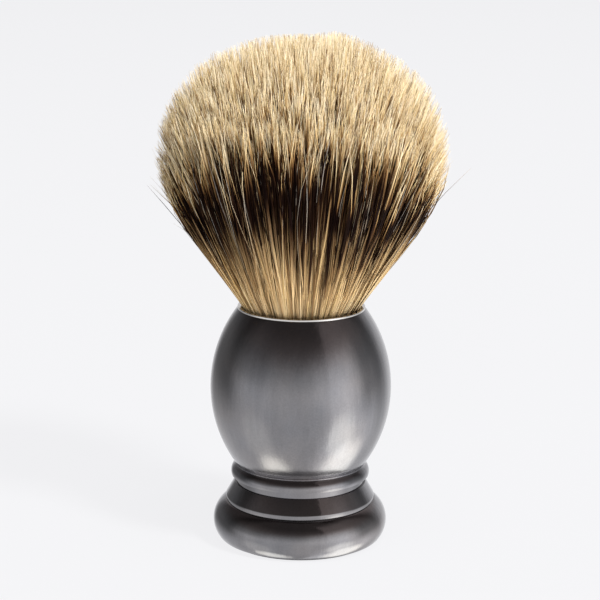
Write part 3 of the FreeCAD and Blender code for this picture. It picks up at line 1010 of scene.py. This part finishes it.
        shade, is_pale = self.shades()
        freedom = 1.0 + loose * given("Loose bend") + is_pale
        low_bend = mouth + lean * given("Lean length")
        drawn_in = self.vector(given("Bend draw"), given("Bend draw"), 1.0)
        bend = ((low_bend + tip) * 0.5 * drawn_in
                + self.sway(self.hair, 41, given("Hair bend")) * freedom
                + self.sway(self.tuft, 43, given("Tuft bend"))
                + self.sway(self.lock, 64, given("Lock bend")))
        tip_bend = (self.sway(self.hair, 45, given("Hair tip bend")) * freedom
                    + self.sway(self.tuft, 47, given("Tuft tip bend")))
        thickness = (given("Hair radius") * self.chance(self.hair, 51, 0.7, 1.25)
                     * (1.0 - is_wild * WILD_THINNER) * (1.0 - is_pale * PALE_THINNER))

        points = self.node("GeometryNodePoints", None, {"Count": given("Hairs")})
        for name, value in (("root", mouth - lean * given("Root drop")), ("low_bend", low_bend),
                            ("bend", bend), ("tip", tip - tip_bend), ("tip_bend", tip_bend)):
            points = self.store(points, name, value)
        for name, value in (("thickness", thickness), ("shade", shade),
                            ("length", length - short + given("Root drop")),
                            ("tan_length", self.tan_length()),
                            ("cream_length", self.cream_length(tip_place, far))):
            points = self.store(points, name, value, "FLOAT")
        return points

    def straight_hair(self):
        """One hair, 1 unit long and 1 unit thick, with three sides."""
        hair = self.node("GeometryNodeMeshCylinder", {"fill_type": "NGON"},
                         {"Vertices": 3, "Side Segments": self.given("Segments"), "Radius": 1.0,
                          "Depth": 1.0}, "Mesh")
        x, y, z = self.split(self.node("GeometryNodeInputPosition"))
        hair = self.store(hair, "along", z, "FLOAT")
        hair = self.store(hair, "cross", self.vector(x, y, 0.0))
        return self.store(hair, "side", y.of("ARCTAN2", x) / (2 * math.pi) + 0.5, "FLOAT")

    def run_along(self, hairs):
        """0 at each hair's root and 1 at its tip."""
        low_end = self.node("GeometryNodeAttributeStatistic", {"data_type": "FLOAT"},
                            {"Geometry": hairs, "Attribute": self.named("along")}, "Min")
        return self.named("along") - low_end

    def bent(self, hairs, along):
        """The hairs, each bent along its own curve and tapered."""
        back = 1.0 - along
        shares = {"root": back ** 3.0, "low_bend": back * back * along * 3.0,
                  "bend": back * along * along * 3.0, "tip": along ** 3.0,
                  "tip_bend": along ** 4.0}
        terms = [self.named(name, "FLOAT_VECTOR") * share for name, share in shares.items()]
        taper = self.split(self.ramp(along, [(far, (thick,) * 3) for far, thick in TAPER]))[0]
        thick = self.named("cross", "FLOAT_VECTOR") * (self.named("thickness") * taper)
        return self.node("GeometryNodeSetPosition", None,
                         {"Geometry": hairs, "Position": sum(terms[1:], start=terms[0]) + thick})

    def mapped(self, hairs, along):
        """The hairs with the map that badger_hair reads: a strip of it for each shade, which
        runs from the root to the tip."""
        length, tan_end = self.named("length"), self.named("tan_length")
        run = along * length
        cream_start = (length - self.named("cream_length")).of("MAXIMUM", tan_end + 0.001)
        stage = (self.remap(run, 0.0, tan_end, 0.0, TAN_END, smooth=False)
                 + self.remap(run, tan_end, cream_start, 0.0, CREAM_START - TAN_END, smooth=False)
                 + self.remap(run, cream_start, length, 0.0, 1.0 - CREAM_START, smooth=False))
        cell = (self.named("shade") * (SHADES - 0.01)).of("FLOOR")
        column = (cell + SIDE_MARGIN + self.named("side") * (1.0 - 2 * SIDE_MARGIN)) / SHADES
        row = stage * (1.0 - 2 * END_MARGIN) + END_MARGIN
        return self.store(hairs, "OFBake", self.vector(column, row, 0.0), "FLOAT2", "CORNER")


def grow_hair_tree(sizes, counts):
    tree = HairTree(sizes, counts)
    hairs = tree.node("GeometryNodeInstanceOnPoints", None,
                      {"Points": tree.settle(), "Instance": tree.straight_hair()})
    hairs = tree.node("GeometryNodeRealizeInstances", None, {"Geometry": hairs})
    along = tree.run_along(hairs)
    hairs = tree.mapped(tree.bent(hairs, along), along)
    for name in ("root", "low_bend", "bend", "tip", "tip_bend", "thickness", "shade", "length",
                 "tan_length", "cream_length", "along", "cross", "side"):
        hairs = tree.node("GeometryNodeRemoveAttribute", None, {"Geometry": hairs, "Name": name})
    hairs = tree.node("GeometryNodeSetShadeSmooth", None, {"Geometry": hairs})
    hairs = tree.node("GeometryNodeRealizeInstances", None, {"Geometry": hairs})
    hairs = tree.node("GeometryNodeSetMaterial", None,
                      {"Geometry": hairs, "Material": tree.given("Hair")})
    tree.node("NodeGroupOutput", None, {0: hairs})
    return tree.made


def grow(group, name, finish, **changes):
    """Grows one piece of the knot, as a plain mesh."""
    owner = bpy.data.objects.new(name, bpy.data.meshes.new(name))
    scene.collection.objects.link(owner)
    modifier = owner.modifiers.new("hair", "NODES")
    modifier.node_group = group
    values = {**HAIR_COUNTS, **HAIR_SIZES, "Hair": finish, **changes}
    for item in group.interface.items_tree:
        if item.in_out == "INPUT":
            modifier[item.identifier] = values[item.name]
    bpy.context.view_layer.update()
    evaluated = owner.evaluated_get(bpy.context.evaluated_depsgraph_get())
    mesh = bpy.data.meshes.new_from_object(evaluated)
    mesh.name = name
    mesh.materials.clear()
    mesh.materials.append(finish)
    owner.modifiers.remove(modifier)
    owner.data = mesh
    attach(owner, "root")
    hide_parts("badger_hair")
    return owner


def build_hair():
    finish = badger_hair()
    group = grow_hair_tree(HAIR_SIZES, HAIR_COUNTS)
    for number in range(1, HAIR_PIECES + 1):
        grow(group, f"hair_{number}", finish, Seed=100 * number)


# ---------------------------------------------------------------------------------------------
# The whole brush
# ---------------------------------------------------------------------------------------------
add_camera()
build_world()
add_floor()
for lamp_name, where_and_how in LAMPS.items():
    add_lamp(lamp_name, *where_and_how)

alloy = smoked_alloy()
build_foot(alloy)
build_skirt(alloy)
build_bead(alloy)
build_grip(alloy)
build_cup(polished_lip())
build_pad(sheet_rubber("pad_rubber", PAD_GREY))

# The inner pieces keep their own solids and get a finish each.
steel = zinc_steel()
rubber = sheet_rubber("seal_rubber", SEAL_GREY)
inner_finishes = {
    "base_plate": steel, "balance_weight": steel, "tie_bolt": steel, "head_washer": steel,
    "nut_washer": steel, "clamp_nut": steel, "foot_seal": rubber, "bulb_seal": rubber,
    "knot_cement": cast_plug("clear_cement", CEMENT, 0.25),
    "knot_plug": cast_plug("cast_resin", RESIN, 0.3), "knot_binding": waxed_thread(),
}
for node, finish in inner_finishes.items():
    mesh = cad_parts[node].data
    mesh.materials.clear()
    mesh.materials.append(finish)

build_hair()
